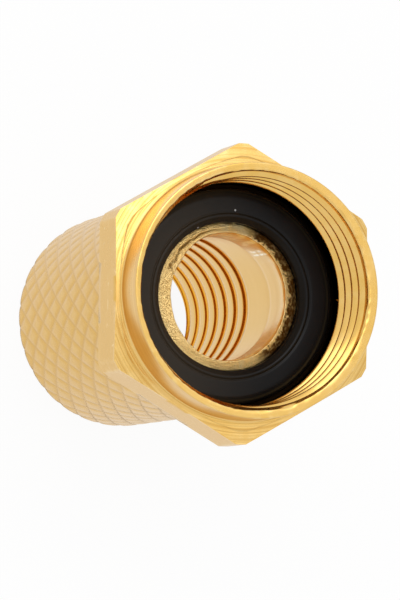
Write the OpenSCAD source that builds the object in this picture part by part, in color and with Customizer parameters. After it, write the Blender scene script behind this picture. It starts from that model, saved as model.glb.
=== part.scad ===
// Screw-on F connector for coaxial cable.
// A knurled body grips the cable, a coupling nut turns freely on the body's neck,
// and a rubber seal ring lies round the neck inside the nut.
// The axis is Z: the cable end stands at z = 0 and the nut's mouth opens upwards.
// All sizes are in millimetres.

/* [Coupling nut] */
// How far the hexagon's flats stand proud of the collar
hex_step = 0.25; // [0.05:0.05:0.9]
// Length of the hexagon along the axis
hex_l = 2.4; // [1.6:0.1:5]
// Depth to which the six corners are turned down
corner_cut = 0.12; // [0.05:0.01:0.4]
// Wall of the round collar outside the thread's crests
collar_wall = 0.6; // [0.5:0.05:1]
// Length of the front collar
collar_l = 1.8; // [1.2:0.1:4]
// Wall of the round boss outside the relief
boss_wall = 0.2; // [0.2:0.05:0.5]
// Length of the rear boss
boss_l = 0.9; // [0.6:0.05:2]
// Small chamfer on the nut's turned edges
nut_edge = 0.1; // [0.03:0.01:0.15]

/* [Port thread] */
// Diameter of the bore at the crests of the port thread
port_d = 9.3; // [8.7:0.05:9.4]
// Depth of the thread, and of the relief behind it
thread_depth = 0.25; // [0.1:0.05:0.25]
// How far the countersink opens the bore at the rim
mouth_open = 0.3; // [0.2:0.05:0.4]
// Depth of the countersink
mouth_l = 0.4; // [0.3:0.1:1.2]
// Length of the relief in front of the flange
relief_l = 0.95; // [0.5:0.05:1.5]
// Thickness of the flange that holds the nut on the neck
flange_t = 0.85; // [0.5:0.05:1.2]

/* [Knurled body] */
// Length of the knurled sleeve
sleeve_l = 13.5; // [10:0.5:20]
// Diameter over the points of the knurl
knurl_d = 9.6; // [9.2:0.1:10.4]
// Depth of the knurl's grooves
knurl_depth = 0.15; // [0.08:0.01:0.3]
// Number of knurl grooves in each direction
knurl_starts = 30; // [20:1:40]
// Angle between a knurl groove and the axis, in degrees
knurl_angle = 27; // [25:1:45]
// Chamfer on both ends of the sleeve
sleeve_edge = 0.25; // [0.1:0.05:0.4]

/* [Cable bore] */
// Minor diameter of the thread that grips the cable's jacket
cable_d = 6.2; // [5.8:0.1:7.2]
// Size of the lead-in chamfer at the cable end
cable_lead = 0.4; // [0.2:0.05:0.5]
// Thickness of the wall between the cable bore and the neck
front_wall = 0.85; // [0.6:0.05:2]

/* [Neck] */
// Diameter of the hole through the neck
throat_d = 5.2; // [4.8:0.05:5.4]
// Wall of the neck
neck_wall = 0.25; // [0.2:0.05:0.5]
// How far the lip is flared out past the neck
lip_flare = 0.25; // [0.15:0.01:0.3]
// Length of the lip's straight rim
lip_l = 0.15; // [0.05:0.01:0.4]
// How far the lip's end face falls away to its rim
lip_fall = 0.14; // [0.05:0.01:0.4]
// How far the hole is opened out at the lip
lip_open = 0.05; // [0.02:0.01:0.15]

/* [Seal ring] */
// Thickness of the ring
seal_t = 0.9; // [0.6:0.05:1]
// Width of the slope that leads down to the lip
seal_lead = 0.24; // [0.1:0.02:0.3]
// Width of the rounded shoulder at the outside
seal_shoulder = 0.4; // [0.1:0.05:0.6]
// Height of the rounded shoulder
seal_drop = 0.3; // [0.1:0.05:0.55]
// Depth of the fine groove round the seal's face
seal_groove = 0.05; // [0.02:0.01:0.08]

/* [Fits] */
// Radial clearance of the nut on the neck
turn_clear = 0.05; // [0.02:0.01:0.1]
// End play of the nut between the sleeve and the lip
nut_play = 0.1; // [0.05:0.01:0.2]
// Gap between the seal and the nut's flange
seal_gap = 0.05; // [0.03:0.01:0.1]
// Radial clearance between the seal's outside and the thread's crests
seal_clear = 0.11; // [0.05:0.01:0.3]

/* [Hidden] */
$fn = 96;
overlap = 0.3;

// Levels along the axis, from the cable end to the rim
z_step = sleeve_l - front_wall;
z_nut = sleeve_l + nut_play;
z_flange = z_nut + flange_t;
z_hex = z_nut + boss_l;
z_collar = z_hex + hex_l;
z_rim = z_collar + collar_l;
z_thread = z_rim - mouth_l;
z_relief = z_flange + relief_l;
z_lip = z_flange + lip_flare;
z_neck_end = z_lip + lip_l + lip_fall;
z_seal = z_flange + seal_gap;

// Radii
port_r = port_d / 2;
relief_r = port_r + thread_depth;
mouth_r = port_r + mouth_open;
collar_r = port_r + collar_wall;
flat_r = collar_r + hex_step;
corner_r = flat_r / cos(30) - corner_cut;
boss_r = relief_r + boss_wall;
neck_r = throat_d / 2 + neck_wall;
lip_r = neck_r + lip_flare;
flange_r = neck_r + turn_clear;
flange_lead = lip_flare + turn_clear / 2;
seal_r = port_r - seal_clear;
knurl_r = knurl_d / 2;
root_r = knurl_r - knurl_depth;
edge_r = knurl_r - sleeve_edge;

// Knurl: a grid of points where two in every four are the tips of small pyramids
knurl_cols = 2 * knurl_starts;
knurl_col_deg = 360 / knurl_cols;
knurl_span = sleeve_l - 2 * sleeve_edge;
knurl_row_wish = knurl_r * knurl_col_deg * PI / 180 / tan(knurl_angle);
knurl_rows = round(knurl_span / knurl_row_wish);
knurl_row = knurl_span / knurl_rows;

// A point of the knurl's grid: tips where column and row are both even or both odd
function knurl_point(i, j) =
    let (r = (i + j) % 2 == 0 ? knurl_r : root_r)
    [r * cos(i * knurl_col_deg), r * sin(i * knurl_col_deg), sleeve_edge + j * knurl_row];

// A point of the plain ring that ends the sleeve
function end_point(i, z) = [edge_r * cos(i * knurl_col_deg), edge_r * sin(i * knurl_col_deg), z];

// Number of a grid point in the list of points
function at(i, j) = j * knurl_cols + (i + knurl_cols) % knurl_cols;

// The knurled sleeve without its bores. Each tip carries four facets, or two at an end row.
module knurl_blank() {
    low = (knurl_rows + 1) * knurl_cols;
    high = low + knurl_cols;
    cols = [0 : knurl_cols - 1];
    points = concat(
        [for (j = [0 : knurl_rows], i = cols) knurl_point(i, j)],
        [for (i = cols) end_point(i, 0)],
        [for (i = cols) end_point(i, sleeve_l)]
    );
    upper = [for (j = [0 : knurl_rows - 1], i = cols) if ((i + j) % 2 == 0)
        each [[at(i - 1, j), at(i, j + 1), at(i, j)], [at(i, j), at(i, j + 1), at(i + 1, j)]]];
    lower = [for (j = [1 : knurl_rows], i = cols) if ((i + j) % 2 == 0)
        each [[at(i - 1, j), at(i, j), at(i, j - 1)], [at(i, j), at(i + 1, j), at(i, j - 1)]]];
    low_edge = [for (i = cols) let (n = (i + 1) % knurl_cols)
        each [[low + i, at(i, 0), at(n, 0)], [low + i, at(n, 0), low + n]]];
    high_edge = [for (i = cols) let (n = (i + 1) % knurl_cols)
        each [[at(i, knurl_rows), high + i, high + n], [at(i, knurl_rows), high + n, at(n, knurl_rows)]]];
    low_face = [[for (i = cols) low + i]];
    high_face = [[for (i = cols) high + knurl_cols - 1 - i]];
    polyhedron(concat(points), concat(upper, lower, low_edge, high_edge, low_face, high_face));
}

// The neck that carries the nut, with its end flared into a lip
module neck_blank() {
    lip_w = lip_r - throat_d / 2;
    z_peak = z_lip + lip_l + lip_fall * lip_w / (lip_w - lip_open);
    rotate_extrude()
        polygon([
            [0, sleeve_l - overlap],
            [neck_r, sleeve_l - overlap],
            [neck_r, z_flange],
            [lip_r, z_lip],
            [lip_r, z_lip + lip_l],
            [throat_d / 2, z_peak],
            [0, z_peak]
        ]);
}

// The hollow through the body: lead-in, cable bore, throat and flared lip
module body_hollow() {
    throat_r = throat_d / 2;
    cable_r = cable_d / 2;
    rotate_extrude()
        polygon([
            [0, -1],
            [cable_r + cable_lead + 1, -1],
            [cable_r, cable_lead],
            [cable_r, z_step],
            [throat_r, z_step],
            [throat_r, z_neck_end - 2 * lip_open],
            [throat_r + 1.5 * lip_open, z_neck_end + lip_open],
            [0, z_neck_end + lip_open]
        ]);
}

// Turned in one piece: knurled sleeve, shoulder and neck
module knurled_body() {
    color("goldenrod")
        difference() {
            union() {
                knurl_blank();
                neck_blank();
            }
            body_hollow();
        }
}

// Outside of the nut: boss, hexagon with its corners turned down, and collar
module nut_blank() {
    rotate_extrude()
        polygon([
            [0, z_nut],
            [boss_r - nut_edge, z_nut],
            [boss_r, z_nut + nut_edge],
            [boss_r, z_hex + overlap],
            [0, z_hex + overlap]
        ]);
    rotate_extrude()
        polygon([
            [0, z_collar - overlap],
            [collar_r, z_collar - overlap],
            [collar_r, z_rim - nut_edge],
            [collar_r - nut_edge, z_rim],
            [0, z_rim]
        ]);
    intersection() {
        translate([0, 0, z_hex])
            rotate(30)
                cylinder(h = hex_l, r = flat_r / cos(30), $fn = 6);
        rotate_extrude()
            polygon([
                [0, z_hex],
                [corner_r - corner_cut, z_hex],
                [corner_r, z_hex + corner_cut],
                [corner_r, z_collar - corner_cut],
                [corner_r - corner_cut, z_collar],
                [0, z_collar]
            ]);
    }
}

// Inside of the nut: flange hole, relief, thread at its minor diameter, countersink
module nut_hollow() {
    mouth_slope = mouth_open / mouth_l;
    rotate_extrude()
        polygon([
            [0, z_nut - 1],
            [flange_r, z_nut - 1],
            [flange_r, z_flange - flange_lead],
            [flange_r + flange_lead, z_flange],
            [relief_r, z_flange],
            [relief_r, z_relief],
            [port_r, z_relief],
            [port_r, z_thread],
            [mouth_r + mouth_slope, z_rim + 1],
            [0, z_rim + 1]
        ]);
}

// Hexagon, collar, flange and thread in one piece
module coupling_nut() {
    color("gold")
        difference() {
            nut_blank();
            nut_hollow();
        }
}

// Rubber ring round the lip: a sloped inner edge, a flat face with a fine groove,
// and a rounded shoulder outside
module seal_ring() {
    top = z_seal + seal_t;
    slope_r = lip_r + seal_lead;
    ridge = seal_groove * 1.5;
    steps = 8;
    shoulder = [for (k = [0 : steps]) let (turn = k * 90 / steps)
        [seal_r - seal_shoulder * (1 - sin(turn)), top - seal_drop * (1 - cos(turn))]];
    color("#232426")
        rotate_extrude()
            polygon(concat(
                [
                    [lip_r, z_seal],
                    [lip_r, top - seal_lead],
                    [slope_r, top],
                    [slope_r + ridge, top],
                    [slope_r + 2 * ridge, top - seal_groove],
                    [slope_r + 3 * ridge, top]
                ],
                shoulder,
                [[seal_r, z_seal]]
            ));
}

knurled_body();
coupling_nut();
seal_ring();
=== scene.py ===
"""Screw-on F connector: gold-plated knurled body, coupling nut and black rubber seal ring."""

import logging
import math
from collections.abc import Sequence
from dataclasses import dataclass, fields
from enum import Enum, IntEnum
from functools import cache

import bmesh
import bpy
import numpy as np
from mathutils import Matrix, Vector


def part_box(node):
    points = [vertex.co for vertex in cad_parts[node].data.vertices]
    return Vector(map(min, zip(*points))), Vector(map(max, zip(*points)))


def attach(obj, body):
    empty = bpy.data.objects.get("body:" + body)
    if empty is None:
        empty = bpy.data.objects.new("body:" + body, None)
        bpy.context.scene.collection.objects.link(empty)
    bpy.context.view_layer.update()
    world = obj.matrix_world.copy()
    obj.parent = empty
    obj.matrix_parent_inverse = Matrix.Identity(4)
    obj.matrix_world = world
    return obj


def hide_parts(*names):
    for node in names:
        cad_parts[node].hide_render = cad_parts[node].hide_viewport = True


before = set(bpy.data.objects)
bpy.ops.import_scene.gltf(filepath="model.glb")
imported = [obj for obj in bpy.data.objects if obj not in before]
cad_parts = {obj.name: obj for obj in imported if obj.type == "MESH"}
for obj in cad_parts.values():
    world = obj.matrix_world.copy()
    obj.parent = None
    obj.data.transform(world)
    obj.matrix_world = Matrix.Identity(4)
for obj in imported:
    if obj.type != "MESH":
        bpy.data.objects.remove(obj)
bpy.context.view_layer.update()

log = logging.getLogger("f_connector")
MM = 0.001
TURN = 2.0 * math.pi

# Points of a skin nearer than this, in metres, are one point
MERGE = 2e-8
# How far wear reaches from a worn corner, in millimetres
WEAR_REACH = 0.09
# The largest share of a stretch that the rounding of a corner takes
CORNER_SHARE = 0.48

Colour = tuple[float, float, float, float]
Socket = bpy.types.NodeSocket


# ---------------------------------------------------------------- turned skins


def smooth(x: np.ndarray) -> np.ndarray:
    """Smooth step from 0 to 1: 3x^2 - 2x^3 with x held between 0 and 1."""
    x = np.clip(x, 0.0, 1.0)
    return x * x * (3.0 - 2.0 * x)


def bell(x: np.ndarray, centre: object, width: float) -> np.ndarray:
    """Bell curve: e to the minus square of the distance from the centre over the width."""
    return np.exp(-(((x - centre) / width) ** 2))


def window(x: np.ndarray, low: float, high: float, rise: float, fall: float) -> np.ndarray:
    """Smooth window: up from 0 at low over rise, and down to 0 at high over fall."""
    return smooth((x - low) / rise) * smooth((high - x) / fall)


def degrees_from_x(theta: np.ndarray) -> np.ndarray:
    """Angles in degrees from +X, from -180 to 180."""
    return (np.degrees(theta) + 180.0) % 360.0 - 180.0


def skin_noise(theta: np.ndarray, along: object, count: int, cell: float, seed: int) -> np.ndarray:
    """Smooth random relief over a turned skin.

    The formula: random heights stand on a lattice of count columns round the
    ring and one row per cell along it, and smooth steps blend them both ways.

    Args:
        theta: angles in radians.
        along: distances along the skin in millimetres.
        count: lattice columns round the ring.
        cell: lattice spacing along the skin in millimetres.
        seed: seed of the random heights.

    Returns:
        Heights from about -1 to 1, in the shape that theta and along broadcast to.
    """
    heights = np.random.default_rng(seed).uniform(-1.0, 1.0, (64, count))
    u = (theta / TURN) % 1.0 * count
    v = along / cell
    u, v = np.broadcast_arrays(u, v)
    iu, iv = np.floor(u).astype(int), np.floor(v).astype(int)
    bu, bv = smooth(u - iu), smooth(v - iv)
    here = heights[iv % 64, iu % count] * (1 - bu) + heights[iv % 64, (iu + 1) % count] * bu
    over = heights[(iv + 1) % 64, iu % count] * (1 - bu) + heights[(iv + 1) % 64, (iu + 1) % count] * bu
    return here * (1 - bv) + over * bv


def ring_noise(theta: np.ndarray, count: int, seed: int) -> np.ndarray:
    """Smooth random wave round a ring, from about -1 to 1: one row of skin noise."""
    return skin_noise(theta, 0.0, count, 1.0, seed)


@dataclass(frozen=True)
class Knot:
    """One corner of a turned outline, in millimetres.

    Args:
        r: radius of the corner.
        z: height of the corner.
        finish: index of the finish from this corner to the next.
        cuts: how many steps divide the stretch to the next corner.
        ease: size of the rounding at this corner.
        weight: how far the piece's own pattern (hexagon, knurl) acts here.
        wear: how rubbed this corner is, from 0 to 1.
    """

    r: float
    z: float
    finish: int = 0
    cuts: int = 2
    ease: float = 0.0
    weight: float = 0.0
    wear: float = 0.0


@dataclass
class Outline:
    """Sampled outline of a turned piece, in millimetres, one entry for each row."""

    r: np.ndarray
    z: np.ndarray
    weight: np.ndarray
    finish: np.ndarray
    stretch: np.ndarray
    wear: np.ndarray

    @classmethod
    def through(cls, knots: Sequence[Knot], round_cuts: int = 4) -> "Outline":
        """Samples a closed outline through its corners.

        The formula: each eased corner is a quadratic curve that leaves the
        straight stretch one ease before the corner and joins the next one an
        ease after it, and the straight stretches between are divided evenly.
        Wear falls off exponentially with the distance from a worn corner.

        Args:
            knots: corners in order, up the outside and down the inside.
            round_cuts: steps in each eased corner.

        Returns:
            The sampled outline.
        """
        points = np.array([(k.r, k.z, k.weight) for k in knots])
        rows: list[np.ndarray] = []
        finish: list[int] = []
        stretch: list[int] = []
        for i, knot in enumerate(knots):
            here, before, after = points[i], points[i - 1], points[(i + 1) % len(knots)]
            into, out = here - before, after - here
            length_in, length_out = math.hypot(*into[:2]), math.hypot(*out[:2])
            first = here - into * min(knot.ease / length_in, CORNER_SHARE)
            last = here + out * min(knot.ease / length_out, CORNER_SHARE)
            if knot.ease > 0:
                t = np.linspace(0, 1, round_cuts + 1)[:, None]
                curve = (1 - t) ** 2 * first + 2 * t * (1 - t) * here + t**2 * last
            else:
                curve = here[None, :]
            goal = after - out * min(knots[(i + 1) % len(knots)].ease / length_out, CORNER_SHARE)
            t = np.linspace(0, 1, knot.cuts + 1)[1:-1, None]
            straight = last + (goal - last) * t
            block = np.vstack([curve, straight])
            rows.append(block)
            half = len(curve) // 2
            finish += [knots[i - 1].finish] * half + [knot.finish] * (len(block) - half)
            stretch += [i] * len(block)
        table = np.vstack(rows)
        step = np.hypot(*np.diff(table[:, :2], axis=0, append=table[:1, :2]).T)
        along = np.concatenate([[0.0], np.cumsum(step)[:-1]])
        total = float(np.sum(step))
        wear = np.zeros(len(table))
        for i, knot in enumerate(knots):
            if knot.wear > 0:
                centre = int(np.argmin(np.hypot(table[:, 0] - knot.r, table[:, 1] - knot.z)))
                gap = np.abs(along - along[centre])
                gap = np.minimum(gap, total - gap)
                wear = np.maximum(wear, knot.wear * np.exp(-gap / WEAR_REACH))
        return cls(
            r=table[:, 0], z=table[:, 1], weight=table[:, 2], finish=np.array(finish),
            stretch=np.array(stretch), wear=wear,
        )

    def column(self, name: str) -> np.ndarray:
        """Returns one of the outline's rows as a column that broadcasts over angles."""
        return getattr(self, name)[:, None]

    def take(self, source: np.ndarray) -> "Outline":
        """Returns the outline with its rows picked by index, so a row may come often."""
        return Outline(**{item.name: getattr(self, item.name)[source] for item in fields(self)})


@dataclass(frozen=True)
class Helix:
    """Rows of a turned skin that follow a screw thread.

    Args:
        low: height where the thread starts, in millimetres.
        high: height where it ends.
        pitch: rise in one turn.
        levels: places of the rows within one turn's rise, from 0 to 1, rising from 0.
        stretch: number of the outline's stretch that the rows stand for.
    """

    low: float
    high: float
    pitch: float
    levels: tuple[float, ...]
    stretch: int

    def heights(self, theta: np.ndarray) -> np.ndarray:
        """Heights of the helical rows.

        The formula: row k starts at its own level and climbs one pitch in a
        turn, and heights are held between low and high. The first row starts
        one pitch below low, so the last angle of row k meets the first angle
        of the row one turn above it.

        Args:
            theta: angles in radians, rising from 0.

        Returns:
            Heights in millimetres, rows by angles.
        """
        turns = math.ceil((self.high - self.low) / self.pitch) + 1
        level = (np.arange(turns)[:, None] + np.array(self.levels)).reshape(-1)
        level = np.append(level, float(turns)) - 1.0
        rows = self.low + self.pitch * (level[:, None] + theta / TURN)
        return np.clip(rows, self.low, self.high)


def with_helix(
    outline: Outline, helix: Helix, theta: np.ndarray
) -> tuple[np.ndarray, np.ndarray, np.ndarray]:
    """Puts helical rows in place of one stretch of an outline.

    The formula: the stretch's plain rows give way to the helix's rows, in the
    outline's own direction, with radii interpolated from the outline.

    Args:
        outline: the sampled outline.
        helix: the rows to put in.
        theta: angles of the columns in radians.

    Returns:
        The index of the outline's row that each new row stands for, the heights
        (rows by angles), and the row that continues each row past the seam.
    """
    place = np.flatnonzero(outline.stretch == helix.stretch)
    first, last = int(place[0]), int(place[-1]) + 1
    rows = helix.heights(theta)
    down = outline.z[first] > outline.z[last % len(outline.z)]
    rows = rows[::-1] if down else rows
    source = np.concatenate([np.arange(first), np.full(len(rows), first), np.arange(last, len(outline.z))])
    plain = np.repeat(outline.z[:, None], len(theta), axis=1)
    height = np.concatenate([plain[:first], rows, plain[last:]])
    seam = np.arange(len(source))
    own = np.arange(len(rows))
    step = -len(helix.levels) if down else len(helix.levels)
    seam[first : first + len(rows)] = first + np.clip(own + step, 0, len(rows) - 1)
    return source, height, seam


def turned_mesh(
    name: str, theta: np.ndarray, radius: np.ndarray, height: np.ndarray, finish: np.ndarray,
    masks: dict[str, np.ndarray], seam: np.ndarray | None = None, sharp_deg: float = 50.0,
) -> bpy.types.Object:
    """Makes a closed ring-shaped piece from rows of radius and height.

    The formula: the point at row i and angle t is (radius cos t, radius sin t,
    height). Rows and angles both run back to their start, so the skin is
    closed, and rows that run into each other are merged.

    Args:
        name: name of the new object.
        theta: angles of the columns in radians, rising.
        radius: radii in millimetres, rows by columns.
        height: heights in millimetres, rows by columns.
        finish: material index of the faces that start at each row.
        masks: named values from 0 to 1 for each point, rows by columns.
        seam: the row at the first angle that continues each row of the last angle.
        sharp_deg: edges that turn more than this stay sharp.

    Returns:
        The object, at the origin, with its place in its mesh.
    """
    rows, columns = radius.shape
    points = np.stack([radius * np.cos(theta), radius * np.sin(theta), height], axis=-1) * MM
    i, j = np.meshgrid(np.arange(rows), np.arange(columns), indexing="ij")
    up, on = (i + 1) % rows, (j + 1) % columns
    beyond = np.arange(rows) if seam is None else seam
    far = np.where(on == 0, beyond[i], i)
    far_up = np.where(on == 0, beyond[up], up)
    quads = np.stack([i * columns + j, far * columns + on, far_up * columns + on, up * columns + j], axis=-1)
    quads = quads.reshape(-1, 4)
    mesh = bpy.data.meshes.new(name)
    mesh.vertices.add(rows * columns)
    mesh.vertices.foreach_set("co", points.reshape(-1))
    mesh.loops.add(quads.size)
    mesh.loops.foreach_set("vertex_index", quads.reshape(-1))
    mesh.polygons.add(len(quads))
    mesh.polygons.foreach_set("loop_start", np.arange(0, quads.size, 4))
    mesh.update(calc_edges=True)
    mesh.polygons.foreach_set("material_index", np.repeat(finish, columns))
    mesh.polygons.foreach_set("use_smooth", np.ones(len(quads), dtype=bool))
    for mask, values in masks.items():
        layer = mesh.attributes.new(mask, "FLOAT", "POINT")
        layer.data.foreach_set("value", np.broadcast_to(values, radius.shape).reshape(-1).astype(np.float32))
    if seam is not None:
        skin = bmesh.new()
        skin.from_mesh(mesh)
        bmesh.ops.remove_doubles(skin, verts=skin.verts, dist=MERGE)
        bmesh.ops.dissolve_degenerate(skin, edges=skin.edges, dist=MERGE)
        skin.to_mesh(mesh)
        skin.free()
    mesh.set_sharp_from_angle(angle=math.radians(sharp_deg))
    mesh.validate()
    piece = bpy.data.objects.new(name, mesh)
    bpy.context.scene.collection.objects.link(piece)
    return piece


# ---------------------------------------------------------------- finishes


class Graph:
    """A node tree with short calls for adding and joining nodes."""

    def __init__(self, tree: bpy.types.NodeTree) -> None:
        """Keeps the tree that nodes are added to."""
        self.tree = tree

    def add(self, kind: str, ins: dict | None = None, **settings: object) -> bpy.types.Node:
        """Adds a node.

        Args:
            kind: Blender's name of the node.
            ins: input name or number to a plain value or another node's output.
            settings: properties of the node.

        Returns:
            The node.
        """
        node = self.tree.nodes.new(kind)
        for key, value in settings.items():
            setattr(node, key, value)
        for key, value in (ins or {}).items():
            if isinstance(value, Socket):
                self.tree.links.new(value, node.inputs[key])
            else:
                node.inputs[key].default_value = value
        return node

    def math(self, operation: str, *values: object, clamp: bool = False) -> Socket:
        """Adds a Math node and returns its result."""
        ins = dict(enumerate(values))
        return self.add("ShaderNodeMath", ins, operation=operation, use_clamp=clamp).outputs[0]

    def vector(self, operation: str, *values: object, out: str = "Vector") -> Socket:
        """Adds a Vector Math node and returns its result."""
        return self.add("ShaderNodeVectorMath", dict(enumerate(values)), operation=operation).outputs[out]

    def scaled(self, vector: Socket, factor: object) -> Socket:
        """Returns a vector times a value."""
        return self.add("ShaderNodeVectorMath", {0: vector, "Scale": factor}, operation="SCALE").outputs[0]

    def effect(self, effect: "Effect", **ins: float) -> bpy.types.bpy_prop_collection:
        """Adds a shared effect with values for its inputs and returns its outputs."""
        return self.add("ShaderNodeGroup", ins, node_tree=effect.tree()).outputs

    def ramp(self, value: Socket, low: float, high: float) -> Socket:
        """Returns 0 below low, 1 above high and a smooth step between."""
        ins = {"Value": value, "From Min": low, "From Max": high}
        node = self.add("ShaderNodeMapRange", ins, interpolation_type="SMOOTHSTEP")
        return node.outputs["Result"]

    def noise(self, vector: Socket, scale: float, detail: float = 2.0) -> Socket:
        """Returns a noise texture's value, from 0 to 1."""
        ins = {"Vector": vector, "Scale": scale, "Detail": detail}
        return self.add("ShaderNodeTexNoise", ins).outputs["Fac"]

    def mix(self, factor: object, first: object, second: object) -> Socket:
        """Mixes two colours by a factor."""
        node = self.add("ShaderNodeMix", data_type="RGBA")
        for socket, value in ((node.inputs[0], factor), (node.inputs[6], first), (node.inputs[7], second)):
            if isinstance(value, Socket):
                self.tree.links.new(value, socket)
            else:
                socket.default_value = value
        return node.outputs[2]


class Surface(Graph):
    """A material's node tree, with what every finish starts and ends with."""

    def __init__(self, name: str) -> None:
        """Makes the material and finds its shader and the Object coordinates."""
        self.material = bpy.data.materials.new(name)
        self.material.use_nodes = True
        super().__init__(self.material.node_tree)
        self.shader = self.tree.nodes["Principled BSDF"]
        self.place = self.add("ShaderNodeTexCoord").outputs["Object"]

    def finished(self, colour: Socket, rough: Socket, height: Socket) -> bpy.types.Material:
        """Joins the colour, the roughness and the height in millimetres to the shader."""
        bump = self.add("ShaderNodeBump", {"Height": height, "Distance": MM, "Strength": 1.0})
        for key, value in (("Base Color", colour), ("Roughness", rough), ("Normal", bump.outputs["Normal"])):
            self.tree.links.new(value, self.shader.inputs[key])
        return self.material


class Effect(Enum):
    """Shader effects that several finishes share, each a node group built once."""

    TURNING = "turning marks"
    SCRATCHES = "fine scratches"
    SPECKS = "specks"
    GRAIN = "torn metal grain"

    @cache
    def tree(self) -> bpy.types.NodeTree:
        """Returns the effect's node group, built on first use."""
        return _BUILDERS[self](self.value)


def new_group(name: str, ins: dict[str, float], outs: Sequence[str]) -> tuple[Graph, dict, bpy.types.Node]:
    """Starts a node group that reads Object coordinates in millimetres.

    Args:
        name: name of the group.
        ins: named value inputs and their defaults.
        outs: named value outputs.

    Returns:
        The graph, its sockets by name (with "Place" for the coordinates), and the output node.
    """
    tree = bpy.data.node_groups.new(name, "ShaderNodeTree")
    for key, value in ins.items():
        tree.interface.new_socket(key, in_out="INPUT", socket_type="NodeSocketFloat").default_value = value
    for key in outs:
        tree.interface.new_socket(key, in_out="OUTPUT", socket_type="NodeSocketFloat")
    graph = Graph(tree)
    given = graph.add("NodeGroupInput")
    sockets = {key: given.outputs[key] for key in ins}
    sockets["Place"] = graph.scaled(graph.add("ShaderNodeTexCoord").outputs["Object"], 1.0 / MM)
    return graph, sockets, graph.add("NodeGroupOutput")


def build_turning(name: str) -> bpy.types.NodeTree:
    """Fine rings left by the lathe.

    The formula: noise of (radius, height) at a high frequency, with the
    direction from the axis added at a low one, so the rings drift a little.
    """
    graph, got, out = new_group(name, {"Rings": 9.0, "Drift": 0.05}, ["Height", "Broad"])
    flat = graph.vector("MULTIPLY", got["Place"], (1.0, 1.0, 0.0))
    radius = graph.vector("LENGTH", flat, out="Value")
    height = graph.add("ShaderNodeSeparateXYZ", {0: got["Place"]}).outputs["Z"]
    sway = graph.scaled(graph.vector("NORMALIZE", flat), got["Drift"])
    rings = graph.add("ShaderNodeCombineXYZ", {
        "X": graph.math("MULTIPLY", radius, got["Rings"]),
        "Y": graph.math("MULTIPLY", height, got["Rings"]),
    }).outputs[0]
    fine = graph.noise(graph.vector("ADD", rings, sway), 1.0, 3.0)
    broad = graph.noise(graph.vector("ADD", graph.scaled(rings, 0.18), sway), 1.0, 1.0)
    graph.tree.links.new(fine, out.inputs["Height"])
    graph.tree.links.new(broad, out.inputs["Broad"])
    return graph.tree


def build_scratches(name: str) -> bpy.types.NodeTree:
    """Thin straight scratches in two directions.

    The formula: the borders between the cells of a stretched and warped cell
    pattern, kept only where they are narrow and where a slow noise is high.
    """
    graph, got, out = new_group(name, {"Scale": 1.0, "Width": 0.012}, ["Mask"])
    masks = []
    for turn, stretch, shift in ((0.5, (0.5, 3.0, 2.2), 3.1), (2.1, (2.6, 0.45, 1.9), 8.7)):
        turned = graph.add("ShaderNodeMapping", {
            "Vector": got["Place"], "Rotation": (0.7, 0.3, turn), "Scale": stretch,
            "Location": (shift, 1.7, 0.4),
        }).outputs[0]
        cells = graph.add("ShaderNodeTexVoronoi", {
            "Vector": turned, "Scale": got["Scale"], "Randomness": 1.0,
        }, feature="DISTANCE_TO_EDGE").outputs["Distance"]
        line = graph.math("LESS_THAN", cells, got["Width"])
        keep = graph.ramp(graph.noise(turned, 1.3), 0.50, 0.60)
        masks.append(graph.math("MULTIPLY", line, keep))
    graph.tree.links.new(graph.math("MAXIMUM", *masks), out.inputs["Mask"])
    return graph.tree


def build_specks(name: str) -> bpy.types.NodeTree:
    """Sparse round specks.

    The formula: the distance to the centres of a cell pattern, kept within a
    small radius and only in the cells whose random value is high.
    """
    graph, got, out = new_group(name, {"Scale": 2.0, "Size": 0.06, "Share": 0.2}, ["Mask"])
    cells = graph.add("ShaderNodeTexVoronoi", {"Vector": got["Place"], "Scale": got["Scale"]}, feature="F1")
    chance = graph.add("ShaderNodeSeparateColor", {0: cells.outputs["Color"]}).outputs[0]
    size = graph.math("MULTIPLY", got["Size"], graph.math("MULTIPLY", chance, 3.0))
    near = graph.math("LESS_THAN", cells.outputs["Distance"], size)
    keep = graph.math("LESS_THAN", chance, got["Share"])
    graph.tree.links.new(graph.math("MULTIPLY", near, keep), out.inputs["Mask"])
    return graph.tree


def build_grain(name: str) -> bpy.types.NodeTree:
    """Torn, granular metal.

    The formula: fine cells and finer noise added, with the deepest parts given
    as a second value.
    """
    graph, got, out = new_group(name, {"Scale": 24.0}, ["Height", "Pits"])
    ins = {"Vector": got["Place"], "Scale": got["Scale"]}
    cells = graph.add("ShaderNodeTexVoronoi", ins, feature="SMOOTH_F1").outputs["Distance"]
    height = graph.math("ADD", cells, graph.noise(*ins.values(), 4.0))
    graph.tree.links.new(height, out.inputs["Height"])
    graph.tree.links.new(graph.ramp(height, 0.95, 0.60), out.inputs["Pits"])
    return graph.tree


_BUILDERS = {
    Effect.TURNING: build_turning,
    Effect.SCRATCHES: build_scratches,
    Effect.SPECKS: build_specks,
    Effect.GRAIN: build_grain,
}


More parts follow.
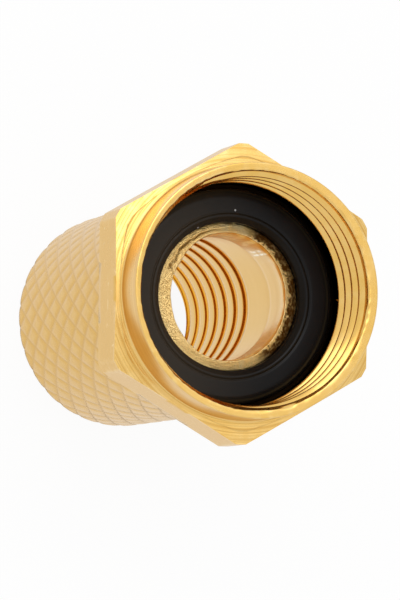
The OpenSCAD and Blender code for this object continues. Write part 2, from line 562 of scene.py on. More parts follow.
@dataclass(frozen=True)
class GoldFinish:
    """Gold plate on brass.

    Args:
        name: name of the material.
        tint: colour of the clean plate.
        shade: colour of painted shade in cracks, grooves, knurl valleys, on one side of the lip and in the
            deeper rings; it also darkens the grain's pits.
        roughness: how much the plate scatters light.
        turning: depth of the lathe's rings, in millimetres.
        rings: rings for each millimetre.
        streaks: how strongly painted shade darkens the deeper rings, from 0 to 1.
        scratches: how strongly scratches show.
        grain: depth of torn grain, in millimetres.
        specks: how strongly dark specks show.
        wear_tint: colour of rubbed edges and scratches, and of the painted highlight on the knurl's tips.
        speck_tint: colour of the specks.
    """

    name: str
    tint: Colour = (0.80, 0.50, 0.13, 1.0)
    shade: Colour = (0.62, 0.34, 0.07, 1.0)
    roughness: float = 0.18
    turning: float = 0.0
    rings: float = 9.0
    streaks: float = 0.0
    scratches: float = 0.0
    grain: float = 0.0
    specks: float = 0.0
    wear_tint: Colour = (0.95, 0.74, 0.36, 1.0)
    speck_tint: Colour = (0.16, 0.08, 0.02, 1.0)

    @cache
    def material(self) -> bpy.types.Material:
        """Returns the material, built on first use."""
        graph = Surface(self.name)
        graph.shader.inputs["Metallic"].default_value = 1.0
        cloud = graph.noise(graph.place, 420.0, 3.0)
        colour = graph.mix(graph.ramp(cloud, 0.30, 0.75), self.tint, self.lean())
        # The wear mask mixes in the wear tint: rubbed corners and scratches, and a painted highlight on the
        # knurl's tips.
        wear = graph.add("ShaderNodeAttribute", attribute_name="wear").outputs["Fac"]
        rubbed = graph.ramp(graph.noise(graph.place, 2600.0, 3.0), 0.35, 0.60)
        wear = graph.math("MULTIPLY", graph.math("MULTIPLY", wear, rubbed), 0.7)
        colour = graph.mix(wear, colour, self.wear_tint)
        # Painted shade: the hollow mask darkens the colour towards the shade colour.
        hollow = graph.add("ShaderNodeAttribute", attribute_name="hollow").outputs["Fac"]
        colour = graph.mix(hollow, colour, self.shade)
        height = graph.math("MULTIPLY", graph.noise(graph.place, 3800.0, 2.0), 0.0006)
        rough = graph.math("MULTIPLY_ADD", cloud, 0.10, self.roughness - 0.05)
        if self.turning:
            rings = graph.effect(Effect.TURNING, Rings=self.rings)
            height = graph.math("MULTIPLY_ADD", rings["Height"], self.turning, height)
            rough = graph.math("MULTIPLY_ADD", rings["Broad"], 0.10, rough)
            # Painted shade in the deeper rings of the lathe's marks.
            ring_shade = graph.math("MULTIPLY", graph.ramp(rings["Height"], 0.53, 0.44), self.streaks)
            colour = graph.mix(ring_shade, colour, self.shade)
        if self.grain:
            torn = graph.effect(Effect.GRAIN)
            height = graph.math("MULTIPLY_ADD", torn["Height"], self.grain, height)
            colour = graph.mix(graph.math("MULTIPLY", torn["Pits"], 0.28), colour, self.shade)
        if self.scratches:
            lines = graph.math("MULTIPLY", graph.effect(Effect.SCRATCHES)["Mask"], self.scratches)
            colour = graph.mix(lines, colour, self.wear_tint)
            height = graph.math("MULTIPLY_ADD", lines, -0.004, height)
        if self.specks:
            dots = graph.math("MULTIPLY", graph.effect(Effect.SPECKS)["Mask"], self.specks)
            colour = graph.mix(dots, colour, self.speck_tint)
            rough = graph.math("MULTIPLY_ADD", dots, 0.3, rough)
        return graph.finished(colour, rough, height)

    def lean(self) -> Colour:
        """Returns a slightly paler form of the tint, for the plate's slow clouds."""
        red, green, blue, alpha = self.tint
        return (min(red * 1.03, 1.0), min(green * 1.06, 1.0), min(blue * 1.25, 1.0), alpha)


@dataclass(frozen=True)
class RubberFinish:
    """Black moulded rubber with a faint shine.

    Args:
        name: name of the material.
        tint: colour of the rubber.
        cloud_tint: colour that the tint drifts to.
        painted_side_light: colour painted over the -X side of the ring as painted light, so that side is
            lighter.
        dust: colour of the dust grains.
        roughness: how much the rubber scatters light.
        shine: how strongly it reflects.
    """

    name: str = "black rubber"
    tint: Colour = (0.004, 0.0035, 0.004, 1.0)
    cloud_tint: Colour = (0.008, 0.0075, 0.0075, 1.0)
    painted_side_light: Colour = (0.036, 0.028, 0.020, 1.0)
    dust: Colour = (0.45, 0.46, 0.48, 1.0)
    roughness: float = 0.24
    shine: float = 0.14

    def material(self) -> bpy.types.Material:
        """Builds the material."""
        graph = Surface(self.name)
        graph.shader.inputs["Specular IOR Level"].default_value = self.shine
        cloud = graph.noise(graph.place, 700.0, 3.0)
        colour = graph.mix(cloud, self.tint, self.cloud_tint)
        # Painted light: the -X side of the ring is tinted lighter brown than the rest.
        side = graph.add("ShaderNodeSeparateXYZ", {0: graph.place}).outputs["X"]
        painted_side_light = graph.ramp(graph.math("MULTIPLY_ADD", cloud, 0.0012, side), 0.0024, -0.0026)
        colour = graph.mix(painted_side_light, colour, self.painted_side_light)
        grains = graph.effect(Effect.SPECKS, Scale=1.9, Size=0.11, Share=0.30)
        colour = graph.mix(grains["Mask"], colour, self.dust)
        rings = graph.effect(Effect.TURNING, Rings=5.0)
        height = graph.math("MULTIPLY", graph.noise(graph.place, 9000.0, 2.0), 0.0006)
        height = graph.math("MULTIPLY_ADD", rings["Height"], 0.002, height)
        rough = graph.math("MULTIPLY_ADD", cloud, 0.10, self.roughness - 0.05)
        return graph.finished(colour, rough, height)


TURNED_GOLD = GoldFinish("gold, turned", roughness=0.20, turning=0.0015, rings=6.0, specks=0.5)
FACED_GOLD = GoldFinish(
    "gold, faced", tint=(0.80, 0.51, 0.15, 1.0), roughness=0.19,
    turning=0.016, rings=9.0, streaks=0.6, specks=0.8,
)
COLLAR_GOLD = GoldFinish(
    "gold, collar", tint=(0.82, 0.54, 0.18, 1.0), roughness=0.24, turning=0.002, rings=6.0, streaks=0.25,
)
RIM_GOLD = GoldFinish("gold, rim", roughness=0.22, turning=0.0012, rings=8.0, streaks=0.2, specks=0.9)
FLAT_GOLD = GoldFinish(
    "gold, hexagon flats", tint=(0.73, 0.43, 0.08, 1.0), roughness=0.26, scratches=0.5, specks=0.4,
)
THREAD_GOLD = GoldFinish("gold, port thread", roughness=0.13, turning=0.001, rings=14.0)
# Its shade colour is painted shade in the knurl's valleys, and its wear tint also paints a highlight on the
# diamonds' tips.
KNURL_GOLD = GoldFinish(
    "gold, knurl", tint=(0.70, 0.405, 0.060, 1.0), shade=(0.50, 0.26, 0.02, 1.0), roughness=0.26, specks=0.9,
    wear_tint=(0.82, 0.54, 0.13, 1.0),
)
# Its shade colour is painted shade in the lip's crack and over its +X side, and it also darkens the grain's
# pits.
LIP_GOLD = GoldFinish(
    "gold, torn lip", tint=(1.0, 0.70, 0.27, 1.0), shade=(0.10, 0.036, 0.004, 1.0),
    roughness=0.33, grain=0.030,
)
BORE_GOLD = GoldFinish(
    "gold, bore", roughness=0.16, turning=0.001, specks=0.4, wear_tint=(1.0, 0.95, 0.75, 1.0),
)
# Its shade colour is a painted reflection in the cable thread's grooves: orange and darker, as several
# bounces inside them would be.
GROOVED_GOLD = GoldFinish("gold, cable thread", roughness=0.16, turning=0.001, shade=(0.85, 0.42, 0.02, 1.0))
# Painted shade: the relief between the thread and the flange takes a near-black colour in place of its shade.
RELIEF_PAINTED_SHADE = GoldFinish("gold relief, painted shade", tint=(0.030, 0.016, 0.006, 1.0), roughness=0.5)
BLACK_RUBBER = RubberFinish()


# ---------------------------------------------------------------- the three pieces


@dataclass
class CouplingNut:
    """Coupling nut: boss, hexagon, collar, countersunk mouth, port thread and flange."""

    bottom: float
    top: float
    flat_r: float = 5.5
    corner_r: float = 6.231
    collar_r: float = 5.25
    boss_r: float = 5.1
    boss_l: float = 0.9
    hex_l: float = 2.4
    crown_deg: float = 8.0
    mouth_r: float = 4.95
    mouth_slope: float = 0.73
    mouth_shift: float = 0.09
    crest_r: float = 4.68
    root_r: float = 4.89
    crest_l: float = 0.15
    pitch: float = 25.4 / 32.0
    first_crest: float = 0.62
    relief_l: float = 0.65
    edge_l: float = 0.08
    flange_t: float = 0.85
    flange_lead: float = 0.215
    hole_r: float = 2.9
    rear_stretches: tuple[int, ...] = (2, 3)
    front_stretches: tuple[int, ...] = (3, 4)
    thread_stretch: int = 8

    class Finish(IntEnum):
        """Material slots of the nut."""

        TURNED = 0
        FACED = 1
        FLATS = 2
        THREAD = 3
        RIM = 4
        RELIEF = 5
        COLLAR = 6

    def angles(self) -> np.ndarray:
        """Column angles: evenly over each flat, with extra columns at the corners.

        The formula: one sixth of a turn, from the middle of a corner to the next,
        is laid out with close steps at both ends and even steps between, and is
        repeated six times.
        """
        edge = math.pi / 6 - self.flat_half()
        lead = np.array([0.0, 0.45, 0.85, 1.0, 1.35, 2.0]) * edge
        even = np.linspace(lead[-1], math.pi / 3 - lead[-1], 50)[1:-1]
        sector = np.concatenate([lead, even, (math.pi / 3 - lead[1:])[::-1]])
        turns = np.concatenate([sector + k * math.pi / 3 for k in range(6)]) + math.pi / 6
        return np.sort(turns % TURN)

    def flat_half(self) -> float:
        """Angle from the middle of a flat to where the turned-down corner begins."""
        return math.acos(self.flat_r / self.corner_r)

    def from_flat(self, theta: np.ndarray) -> np.ndarray:
        """Angle from the middle of the nearest flat."""
        return (theta + math.pi / 6) % (math.pi / 3) - math.pi / 6

    def hexagon(self, theta: np.ndarray) -> np.ndarray:
        """Radius of the hexagon: the flat's distance over the cosine of the angle from
        the flat's middle, and never more than the turned-down corner."""
        return np.minimum(self.flat_r / np.cos(self.from_flat(theta)), self.corner_r)

    def thread(self, theta: np.ndarray, z: np.ndarray, low: float) -> np.ndarray:
        """Radius of the port thread.

        The formula: a right-handed groove with flanks at 30 degrees to the
        radius. The distance from the middle of the crest is rounded off as the
        root of its square plus the square of the crest's half width, and the
        depth grows with it until it reaches the root.
        """
        phase = ((z - low) / self.pitch - theta / TURN - self.first_crest + 0.5) % 1.0 - 0.5
        half = self.crest_l / 2
        reach = np.sqrt((phase * self.pitch) ** 2 + half**2) - half
        return self.crest_r + np.clip(reach / math.tan(math.radians(30)), 0.0, self.root_r - self.crest_r)

    def bore(self, theta: np.ndarray, z: np.ndarray, low: float) -> np.ndarray:
        """Radius inside the nut between the relief and the rim.

        The formula: the larger of the port thread and the countersink. The
        countersink is a cone that narrows downwards from the rim's edge, and the
        edge is a little off centre, as a worn one is. Where the edge is widest
        the cone's wall is nearer to upright.
        """
        off = self.mouth_shift * np.cos(theta)
        cone = self.mouth_r - off - (self.top - z) * (self.mouth_slope + 4.5 * np.minimum(off, 0.0))
        return np.maximum(cone, self.thread(theta, z, low))

    def levels(self) -> tuple[float, ...]:
        """Places of the thread's rows within one turn: close together on the crest
        and on both flanks, and far apart along the root."""
        reach = (self.root_r - self.crest_r) * math.tan(math.radians(30)) + self.crest_l / 2
        edge = math.sqrt(reach**2 - (self.crest_l / 2) ** 2)
        half = edge * np.array([0.14, 0.28, 0.45, 0.65, 0.83, 1.0])
        root = np.linspace(half[-1], self.pitch - half[-1], 4)[1:-1]
        place = np.concatenate([[0.0], -half, half, root]) / self.pitch + self.first_crest
        return tuple(np.unique(np.append(place % 1.0, 0.0)).tolist())

    def knots(self, low: float) -> list[Knot]:
        """Corners of the nut's outline, up the outside and down the inside."""
        f = self.Finish
        z_hex = self.bottom + self.boss_l
        z_collar = z_hex + self.hex_l
        z_flange = self.bottom + self.flange_t
        return [
            Knot(self.hole_r, self.bottom, f.FACED, 6, 0.04),
            Knot(self.boss_r, self.bottom, f.TURNED, 3, 0.10, wear=0.5),
            Knot(self.boss_r, z_hex, f.FACED, 6),
            Knot(self.flat_r, z_hex, f.FLATS, 6, 0.04, 1.0, 0.6),
            Knot(self.flat_r, z_collar, f.FACED, 10, 0.04, 1.0, 0.8),
            Knot(self.collar_r, z_collar, f.COLLAR, 12, 0.10),
            Knot(self.collar_r, self.top, f.RIM, 8, 0.06, wear=0.9),
            Knot(self.mouth_r, self.top, f.THREAD, 2, 0.03, wear=0.8),
            Knot(self.mouth_r - self.edge_l * self.mouth_slope, self.top - self.edge_l, f.THREAD, 4),
            Knot(self.crest_r, low, f.RELIEF, 2),
            Knot(self.root_r, low, f.RELIEF, 4),
            Knot(self.root_r, z_flange, f.RELIEF, 5),
            Knot(self.hole_r + self.flange_lead, z_flange, f.FACED, 2),
            Knot(self.hole_r, z_flange - self.flange_lead, f.TURNED, 3),
        ]

    def build(self) -> bpy.types.Object:
        """Builds the nut: the outline turned round the axis, pushed out to the
        hexagon by its weight, with the thread cut where it is deeper than the bore."""
        low = self.bottom + self.flange_t + self.relief_l
        outline = Outline.through(self.knots(low))
        theta = self.angles()
        helix = Helix(low, self.top - self.edge_l, self.pitch, self.levels(), self.thread_stretch)
        source, height, seam = with_helix(outline, helix, theta)
        outline = outline.take(source)
        radius = outline.column("r") + outline.column("weight") * (self.hexagon(theta) - self.flat_r)
        inside = outline.column("stretch") == self.thread_stretch
        radius = np.where(inside, self.bore(theta, height, low), radius)
        rim = smooth((height - self.top + 0.12) / 0.04) * ~inside
        rim = rim * smooth((self.collar_r - 0.06 - radius) / (self.collar_r - self.mouth_r - 0.08))
        radius = radius - self.mouth_shift * rim * np.cos(theta)
        radius, height = self.worn_mouth(theta, radius, height)
        height = self.crowned(radius, height, outline.column("stretch"))
        arris = np.exp(-np.abs(np.abs(self.from_flat(theta)) - self.flat_half()) / 0.012)
        wear = np.maximum(outline.column("wear"), 0.7 * outline.column("weight") * arris)
        wear = wear * (0.55 + 0.45 * ring_noise(theta, 70, 9))
        piece = turned_mesh("coupling_nut_shell", theta, radius, height, outline.finish, {"wear": wear}, seam)
        finishes = (TURNED_GOLD, FACED_GOLD, FLAT_GOLD, THREAD_GOLD, RIM_GOLD, RELIEF_PAINTED_SHADE, COLLAR_GOLD)
        for finish in finishes:
            piece.data.materials.append(finish.material())
        return piece

    def crowned(self, radius: np.ndarray, height: np.ndarray, stretch: np.ndarray) -> np.ndarray:
        """Height of each point with the hexagon's ends turned to shallow cones.

        The formula: the front end is held under a cone that falls from the
        collar's foot, and the rear end over one half as steep from the boss.
        """
        crown = math.tan(math.radians(self.crown_deg))
        z_hex = self.bottom + self.boss_l
        front = z_hex + self.hex_l - (radius - self.collar_r) * crown
        rear = z_hex + (radius - self.boss_r) * crown * 0.5
        height = np.where(np.isin(stretch, self.front_stretches), np.minimum(height, front), height)
        return np.where(np.isin(stretch, self.rear_stretches), np.maximum(height, rear), height)

    def worn_mouth(
        self, theta: np.ndarray, radius: np.ndarray, height: np.ndarray
    ) -> tuple[np.ndarray, np.ndarray]:
        """Nicks the inner edge of the rim.

        The formula: ring noise at three scales, weighted by a bell round the
        edge, moves the edge in and out. Where a slow noise is high the edge is
        also pressed down.

        Returns:
            The radius and the height of each point.
        """
        edge = self.mouth_r - self.mouth_shift * np.cos(theta)
        near = bell(radius, edge, 0.06) * bell(height, self.top, 0.09)
        coarse = ring_noise(theta, 34, 6) * (ring_noise(theta, 9, 7) > -0.1)
        nick = 0.5 * ring_noise(theta, 150, 5) + 0.8 * coarse + 0.3 * ring_noise(theta, 64, 8)
        return radius + 0.040 * near * nick, height - 0.030 * near * np.abs(nick)


@dataclass
class KnurledBody:
    """Body: knurled sleeve, shoulder, neck with its torn lip, throat and cable thread."""

    top: float
    sleeve_l: float = 13.5
    knurl_r: float = 4.8
    knurl_depth: float = 0.038
    top_share: float = 0.55
    starts: int = 30
    rows: int = 14
    edge: float = 0.25
    neck_r: float = 2.85
    lip_r: float = 3.1
    lip_l: float = 0.15
    lip_fall: float = 0.14
    throat_r: float = 2.6
    step_z: float = 12.65
    cable_r: float = 3.1
    cable_root: float = 3.19
    cable_pitch: float = 1.3
    cable_groove: float = 0.62
    cable_start: float = 8.46
    cable_end: float = 8.9
    cable_fade: float = 0.3
    lead: float = 0.4
    lip_stretch: int = 8
    cable_stretch: int = 13

    class Finish(IntEnum):
        """Material slots of the body."""

        TURNED = 0
        KNURL = 1
        LIP = 2
        BORE = 3
        THREAD = 4

    def knurl(self, theta: np.ndarray, z: np.ndarray) -> np.ndarray:
        """Depth of the knurl below its points, from 0 to 1.

        The formula: two sets of helical grooves, one each way. The depth is a
        quarter of the square of the distance from the middle of a diamond, taken
        across the nearer groove, and a steeper power of it beyond the top's share,
        so the diamonds have nearly flat tops and sloping sides. One set is a
        little narrower than the other.
        """
        turn = theta / TURN * self.starts
        rise = (z - self.edge) / (2.0 * (self.sleeve_l - 2.0 * self.edge) / self.rows)
        one = np.abs((turn + rise + 0.5) % 1.0 - 0.5)
        other = np.abs((turn - rise + 0.5) % 1.0 - 0.5)
        across = 2.0 * np.maximum(one, 0.97 * other)
        side = np.clip((across - self.top_share) / (1.0 - self.top_share), 0.0, 1.0)
        return 0.25 * across**2 + 0.75 * side**1.3

    def cable_thread(self, theta: np.ndarray, z: np.ndarray) -> np.ndarray:
        """Depth of the cable thread: a right-handed groove with sloping walls between
        wide lands, which fades out towards the step."""
        phase = ((z - self.cable_start) / self.cable_pitch - theta / TURN + 0.5) % 1.0
        reach = self.cable_groove / 2 - np.abs(phase - 0.5) * self.cable_pitch
        fade = smooth((self.cable_end + self.cable_fade - z) / self.cable_fade)
        return (self.cable_root - self.cable_r) * smooth(reach / 0.16) * fade

    def cable_levels(self) -> tuple[float, ...]:
        """Places of the cable thread's rows within one turn: close together on the
        groove's walls, and far apart on its floor and on the land."""
        half = self.cable_groove / 2
        walls = np.array([half, half - 0.04, half - 0.08, half - 0.12, half - 0.16])
        land = np.linspace(half, self.cable_pitch - half, 4)[1:-1]
        place = np.concatenate([[0.0], -walls, walls, land]) / self.cable_pitch
        place += (self.cable_start - self.lead) / self.cable_pitch
        return tuple(np.unique(np.append(place % 1.0, 0.0)).tolist())

    def torn_lip(self, theta: np.ndarray, radius: np.ndarray) -> tuple[np.ndarray, np.ndarray]:
        """Relief of the lip's end.

        The formula: fine grains in two scales of skin noise, and a crack. The
        crack is a narrow ragged trench round a wandering radius over the upper
        left of the lip, and a short one that crosses the lip where it begins.
        Inside it the metal is curled up and smooth.

        Returns:
            How far each point is raised, and how much painted shade its crack takes, from 0 to 1.
        """
        degrees = np.degrees(theta) % 360.0
        part = window(degrees, 98.0, 160.0, 12.0, 5.0)
        path = 2.86 + 0.0004 * (degrees - 130.0) + 0.035 * ring_noise(theta, 120, 21)
        path = path + 0.025 * ring_noise(theta, 40, 22)
        gap = 0.5 + 0.5 * ring_noise(theta, 74, 27)
        trench = part * (0.25 + 0.75 * gap) * bell(radius, path, 0.030)
        across = bell(degrees, 155.0 - 26.0 * (radius - 2.84), 1.0)
        trench = np.maximum(trench, 0.6 * across * smooth((2.94 - radius) / 0.08))
        curled = part * smooth((path - radius) / 0.06)
        rough = 0.005 * skin_noise(theta, radius, 170, 0.10, 23)
        rough = rough + 0.006 * skin_noise(theta, radius, 350, 0.05, 24)
        # The second value is painted shade in the crack's trench.
        return rough * (1.0 - 0.6 * curled) + 0.03 * curled - 0.06 * trench, 0.8 * trench

    def pressed(self, theta: np.ndarray) -> np.ndarray:
        """How far the hole's edge is pressed inwards at the lip, in millimetres.

        The formula: a wide window over the side towards -X, a bell in the middle
        of its upper part, and a little ring noise.
        """
        degrees = np.degrees(theta) % 360.0
        pushed = window(degrees, 108.0, 246.0, 25.0, 30.0) + bell(degrees, 147.0, 6.0)
        return 0.05 * pushed + 0.012 * ring_noise(theta, 60, 25)

    def lip_side_shade(self, theta: np.ndarray, radius: np.ndarray) -> np.ndarray:
        """Painted shade over the outer part of the lip on its +X side, from 0 to 1.

        The formula: most of the outer part of the lip between 66 degrees below +X
        and 78 degrees above it, broken up by skin noise.
        """
        part = window(degrees_from_x(theta), -66.0, 78.0, 14.0, 16.0)
        grain = skin_noise(theta, radius, 300, 0.05, 28) + 0.6 * skin_noise(theta, radius, 90, 0.12, 29)
        outer = smooth((radius - 2.70 + 0.10 * grain) / 0.07)
        return part * outer * np.clip(0.95 + 0.35 * grain, 0.0, 1.0)

    def comb(self, theta: np.ndarray, z: np.ndarray) -> np.ndarray:
        """Short scratches along the throat just inside the lip, from 0 to 1.4.

        The formula: ring noise kept where it is high, in two parts of the ring,
        with lengths that follow a second ring noise.
        """
        degrees = degrees_from_x(theta)
        part = window(degrees, 35.0, 100.0, 12.0, 10.0) + window(degrees, -88.0, -40.0, 12.0, 12.0)
        reach = 1.7 + 0.5 * ring_noise(theta, 70, 34)
        lines = smooth((ring_noise(theta, 170, 33) + 0.2) / 0.4)
        return part * (0.1 + 1.3 * lines) * smooth((z - self.top + reach) / 0.3)

    def z_plain(self) -> float:
        """Height where the cable bore is plain again above its thread."""
        return self.cable_end + self.cable_fade + 0.05

    def knots(self) -> list[Knot]:
        """Corners of the body's outline, up the outside and down the inside."""
        f = self.Finish
        z_edge = self.top - self.lip_fall
        flare = self.lip_r - self.neck_r
        return [
            Knot(self.cable_r + self.lead, 0.0, f.TURNED, 4, 0.03, wear=0.5),
            Knot(self.knurl_r - self.edge, 0.0, f.KNURL, 3, 0.03, wear=0.6),
            Knot(self.knurl_r, self.edge, f.KNURL, self.rows * 6, 0.0, 1.0),
            Knot(self.knurl_r, self.sleeve_l - self.edge, f.KNURL, 3, 0.0, 1.0),
            Knot(self.knurl_r - self.edge, self.sleeve_l, f.TURNED, 3),
            Knot(self.neck_r, self.sleeve_l, f.TURNED, 3),
            Knot(self.neck_r, z_edge - self.lip_l - flare, f.LIP, 2),
            Knot(self.lip_r, z_edge - self.lip_l, f.LIP, 2),
            Knot(self.lip_r, z_edge, f.LIP, 14, 0.05),
            Knot(self.throat_r + 0.02, self.top, f.BORE, 3, 0.05, wear=0.8),
            Knot(self.throat_r, self.top - 0.30, f.BORE, 8),
            Knot(self.throat_r + 0.10, self.step_z, f.BORE, 2, 0.05),
            Knot(self.cable_r, self.step_z, f.BORE, 3),
            Knot(self.cable_r, self.z_plain(), f.THREAD, 6),
            Knot(self.cable_r, self.lead, f.BORE, 4),
        ]

    def build(self) -> bpy.types.Object:
        """Builds the body: the outline turned round the axis, less the knurl and the
        cable thread, with the lip's end torn."""
        outline = Outline.through(self.knots())
        columns = 12 * self.starts
        theta = np.arange(columns) / columns * TURN
        helix = Helix(self.lead, self.z_plain(), self.cable_pitch, self.cable_levels(), self.cable_stretch)
        source, height, seam = with_helix(outline, helix, theta)
        outline = outline.take(source)
        stretch, weight = outline.column("stretch"), outline.column("weight")
        cut = self.knurl(theta, height)
        groove = np.where(stretch == self.cable_stretch, self.cable_thread(theta, height), 0.0)
        radius = outline.column("r") - weight * self.knurl_depth * cut + groove
        inner = stretch >= self.lip_stretch
        lip = inner * smooth((height - (self.top - 0.26)) / 0.10)
        rise, crack = self.torn_lip(theta, radius)
        height = height + lip * rise * smooth((radius - self.throat_r - 0.03) / 0.1)
        throat = inner * (height > self.step_z + 0.1)
        near = smooth((self.lip_r - radius) / (self.lip_r - self.throat_r))
        oval = 0.07 * np.cos(2.0 * theta) * smooth((height - self.top + 0.9) / 0.9)
        radius = radius - near * (throat * oval + lip * self.pressed(theta))
        radius = radius + lip * smooth((radius - 2.9) / 0.15) * 0.015 * ring_noise(theta, 80, 26)
        # Painted highlight: the knurl's diamond tips are painted paler with the wear tint.
        tip_highlight = 0.35 * weight * smooth((0.14 - cut) / 0.14)
        # Painted shade: the knurl's valleys are darkened towards the shade colour.
        valley_shade = 0.4 * weight * smooth((cut - 0.45) / 0.55)
        # Painted shade: the crack and the lip's outer part on the +X side are darkened.
        torn = lip * np.maximum(crack, self.lip_side_shade(theta, radius))
        # The wear mask holds rubbed corners and throat scratches, and the painted highlight on the knurl's
        # tips.
        wear = np.maximum(np.maximum(outline.column("wear"), tip_highlight), throat * self.comb(theta, height))
        # The hollow mask is painted shade: in the lip's crack, over the lip's +X side, in the knurl's
        # valleys, and as a painted reflection colour in the cable thread's grooves.
        hollow = np.maximum(np.maximum(torn, smooth(groove / 0.03)), valley_shade)
        masks = {"wear": wear, "hollow": hollow}
        piece = turned_mesh("knurled_body_shell", theta, radius, height, outline.finish, masks, seam)
        for finish in (TURNED_GOLD, KNURL_GOLD, LIP_GOLD, BORE_GOLD, GROOVED_GOLD):
            piece.data.materials.append(finish.material())
        return piece


@dataclass
class SealRing:
    """Rubber ring: sloped inner edge, fine ridge and groove, flat land, round shoulder."""

    bottom: float
    top: float
    inner_r: float = 3.1
    outer_r: float = 4.54
    lead: float = 0.24
    groove: float = 0.05
    shoulder: float = 0.4
    drop: float = 0.3

    def build(self) -> bpy.types.Object:
        """Builds the ring: its outline turned round the axis, with the slow
        unevenness of moulded rubber added to the face.

        The formula: the shoulder is a quarter of an ellipse, shoulder wide and
        drop high.
        """
        slope = self.inner_r + self.lead
        edge_r, edge_z = self.outer_r - self.shoulder, self.top - self.drop
        shoulder = [
            Knot(edge_r + self.shoulder * math.sin(t), edge_z + self.drop * math.cos(t), cuts=1)
            for t in np.radians(np.linspace(90.0, 0.0, 10))
        ]
        knots = [
            Knot(self.inner_r, self.bottom, 0, 4, 0.03),
            Knot(self.outer_r, self.bottom, 0, 3, 0.05),
            *shoulder[:-1],
            Knot(shoulder[-1].r, self.top, 0, 8),
            Knot(slope + 0.225, self.top, 0, 2, 0.02),
            Knot(slope + 0.15, self.top - self.groove, 0, 2, 0.02),
            Knot(slope + 0.075, self.top, 0, 2, 0.03),
            Knot(slope, self.top, 0, 6, 0.06),
            Knot(self.inner_r, self.top - self.lead, 0, 4, 0.04),
        ]
        outline = Outline.through(knots, round_cuts=6)
        theta = np.arange(288) / 288 * TURN
        face = smooth((outline.column("z") - (self.top - 0.2)) / 0.15)
        height = outline.column("z") + face * 0.006 * (ring_noise(theta, 11, 31) - 1.0)
        radius = np.broadcast_to(outline.column("r"), height.shape)
        piece = turned_mesh("rubber_seal", theta, radius, height, outline.finish, {})
        piece.data.materials.append(BLACK_RUBBER.material())
        return piece


# ---------------------------------------------------------------- studio


@dataclass(frozen=True)
class Patch:
    """Round soft bright patch of the sky.

    Args:
        way: direction of its middle, as a unit vector.
        far: distance from the middle, on the unit sphere, where it ends.
        near: distance from the middle where it is full.
        gain: light that it adds in the middle.
    """

    way: tuple[float, float, float]
    far: float
    near: float
    gain: float


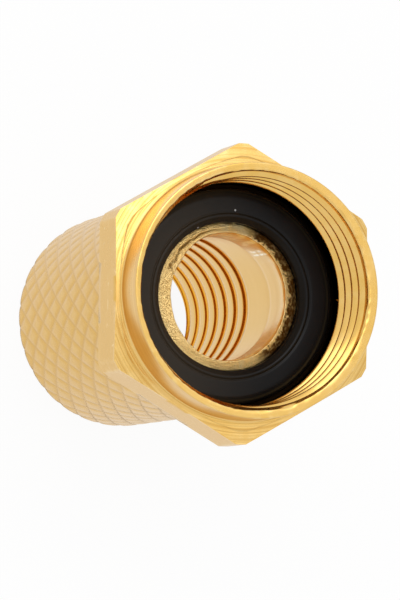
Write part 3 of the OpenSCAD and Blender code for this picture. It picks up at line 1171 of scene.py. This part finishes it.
@dataclass
class Studio:
    """Camera, pale floor and soft light."""

    lens: float = 220.8
    place: tuple[float, float, float] = (-50.54, -12.42, 159.28)
    right: tuple[float, float, float] = (0.94599, 0.00942, 0.32407)
    up: tuple[float, float, float] = (-0.03481, 0.99675, 0.07263)
    back: tuple[float, float, float] = (-0.32233, -0.07999, 0.94324)
    floor_half: float = 1.5
    floor_tone: float = 0.80
    floor_share: float = 0.93
    sky: float = 0.92
    lamp_place: tuple[float, float, float] = (-0.09, 0.14, 0.16)
    lamp_aim: tuple[float, float, float] = (0.0, 0.0, 0.012)
    lamp_side: float = 0.12
    lamp_energy: float = 0.05
    patches: tuple[Patch, ...] = (
        Patch((-0.15, 0.55, 0.82), 0.75, 0.10, 0.6),
        Patch((-0.02, 0.36, 0.93), 0.32, 0.10, 2.0),
        Patch((0.33, -0.20, 0.92), 0.24, 0.05, 0.35),
        Patch((0.33, 0.33, 0.88), 0.24, 0.05, 0.35),
    )

    def camera(self) -> None:
        """Places the camera: its axes are given as unit vectors and its place in millimetres."""
        data = bpy.data.cameras.new("camera")
        data.lens = self.lens
        data.clip_start = 0.001
        data.clip_end = 10.0
        camera = bpy.data.objects.new("camera", data)
        bpy.context.scene.collection.objects.link(camera)
        axes = np.array([self.right, self.up, self.back], dtype=float)
        axes /= np.linalg.norm(axes, axis=1)[:, None]
        turn = np.eye(4)
        turn[:3, :3] = axes.T
        turn[:3, 3] = np.array(self.place) * MM
        camera.matrix_world = Matrix(turn.tolist())
        bpy.context.scene.camera = camera

    def floor(self) -> None:
        """Lays a large plain floor that looks white and still takes a soft shadow."""
        mesh = bpy.data.meshes.new("floor")
        half = self.floor_half
        corners = [(-half, -half, 0.0), (half, -half, 0.0), (half, half, 0.0), (-half, half, 0.0)]
        mesh.from_pydata(corners, [], [(0, 1, 2, 3)])
        floor = bpy.data.objects.new("floor", mesh)
        bpy.context.scene.collection.objects.link(floor)
        material = bpy.data.materials.new("pale floor")
        material.use_nodes = True
        graph = Graph(material.node_tree)
        nodes = material.node_tree.nodes
        nodes.remove(nodes["Principled BSDF"])
        ray = graph.add("ShaderNodeLightPath").outputs
        seen = graph.math("MAXIMUM", ray["Is Camera Ray"], ray["Is Glossy Ray"])
        seen = graph.math("MAXIMUM", seen, ray["Is Transmission Ray"])
        card = graph.add("ShaderNodeBsdfDiffuse", {"Color": (*[self.floor_tone] * 3, 1.0)})
        glow = graph.add("ShaderNodeEmission", {"Color": (1.0, 1.0, 1.0, 1.0), "Strength": 1.0})
        share = graph.math("MULTIPLY", seen, self.floor_share)
        both = graph.add("ShaderNodeMixShader", {0: share, 1: card.outputs[0], 2: glow.outputs[0]})
        material.node_tree.links.new(both.outputs[0], nodes["Material Output"].inputs["Surface"])
        mesh.materials.append(material)

    def light(self) -> None:
        """Lights the piece with a soft sky with brighter patches, and one soft lamp."""
        world = bpy.data.worlds.new("studio")
        world.use_nodes = True
        bpy.context.scene.world = world
        graph = Graph(world.node_tree)
        nodes = world.node_tree.nodes
        ray = graph.add("ShaderNodeLightPath").outputs
        way = graph.add("ShaderNodeTexCoord").outputs["Generated"]
        level = self.sky
        for patch in self.patches:
            away = graph.vector("DISTANCE", way, patch.way, out="Value")
            level = graph.math("MULTIPLY_ADD", graph.ramp(away, patch.far, patch.near), patch.gain, level)
        seen = graph.math("MAXIMUM", ray["Is Camera Ray"], ray["Is Transmission Ray"])
        strength = graph.add("ShaderNodeMix", {0: seen, 2: level, 3: 1.0}, data_type="FLOAT").outputs[0]
        background = nodes["Background"]
        background.inputs["Color"].default_value = (1.0, 1.0, 1.0, 1.0)
        world.node_tree.links.new(strength, background.inputs["Strength"])
        lamp = bpy.data.lights.new("soft box", "AREA")
        lamp.shape = "RECTANGLE"
        lamp.size = lamp.size_y = self.lamp_side
        lamp.energy = self.lamp_energy
        holder = bpy.data.objects.new("soft box", lamp)
        bpy.context.scene.collection.objects.link(holder)
        holder.location = self.lamp_place
        holder.rotation_euler = Matrix(looking(np.subtract(self.lamp_aim, self.lamp_place))).to_euler()

    def build(self) -> None:
        """Builds the camera, the floor and the light."""
        scene = bpy.context.scene
        scene.view_settings.view_transform = "Standard"
        self.camera()
        self.floor()
        self.light()


def looking(direction: np.ndarray) -> list[list[float]]:
    """Returns the axes, as columns, of a lamp that shines along a direction."""
    back = -direction / np.linalg.norm(direction)
    right = np.cross((0.0, 0.0, 1.0), back)
    right /= np.linalg.norm(right)
    return np.stack([right, np.cross(back, right), back], axis=1).tolist()


def main() -> None:
    """Builds the connector's pieces on the frame, then the studio."""
    logging.basicConfig(level=logging.INFO, format="%(name)s: %(message)s")
    nut_low, nut_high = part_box("coupling_nut")
    body_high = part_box("knurled_body")[1]
    seal_low, seal_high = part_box("seal_ring")
    nut = CouplingNut(bottom=nut_low[2] / MM, top=nut_high[2] / MM).build()
    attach(nut, "nut")
    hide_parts("coupling_nut")
    body = KnurledBody(top=body_high[2] / MM).build()
    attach(body, "body")
    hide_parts("knurled_body")
    seal = SealRing(bottom=seal_low[2] / MM, top=seal_high[2] / MM).build()
    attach(seal, "body")
    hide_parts("seal_ring")
    for piece in (nut, body, seal):
        log.info("%s: %d faces", piece.name, len(piece.data.polygons))
    Studio().build()


if __name__ == "__main__":
    main()
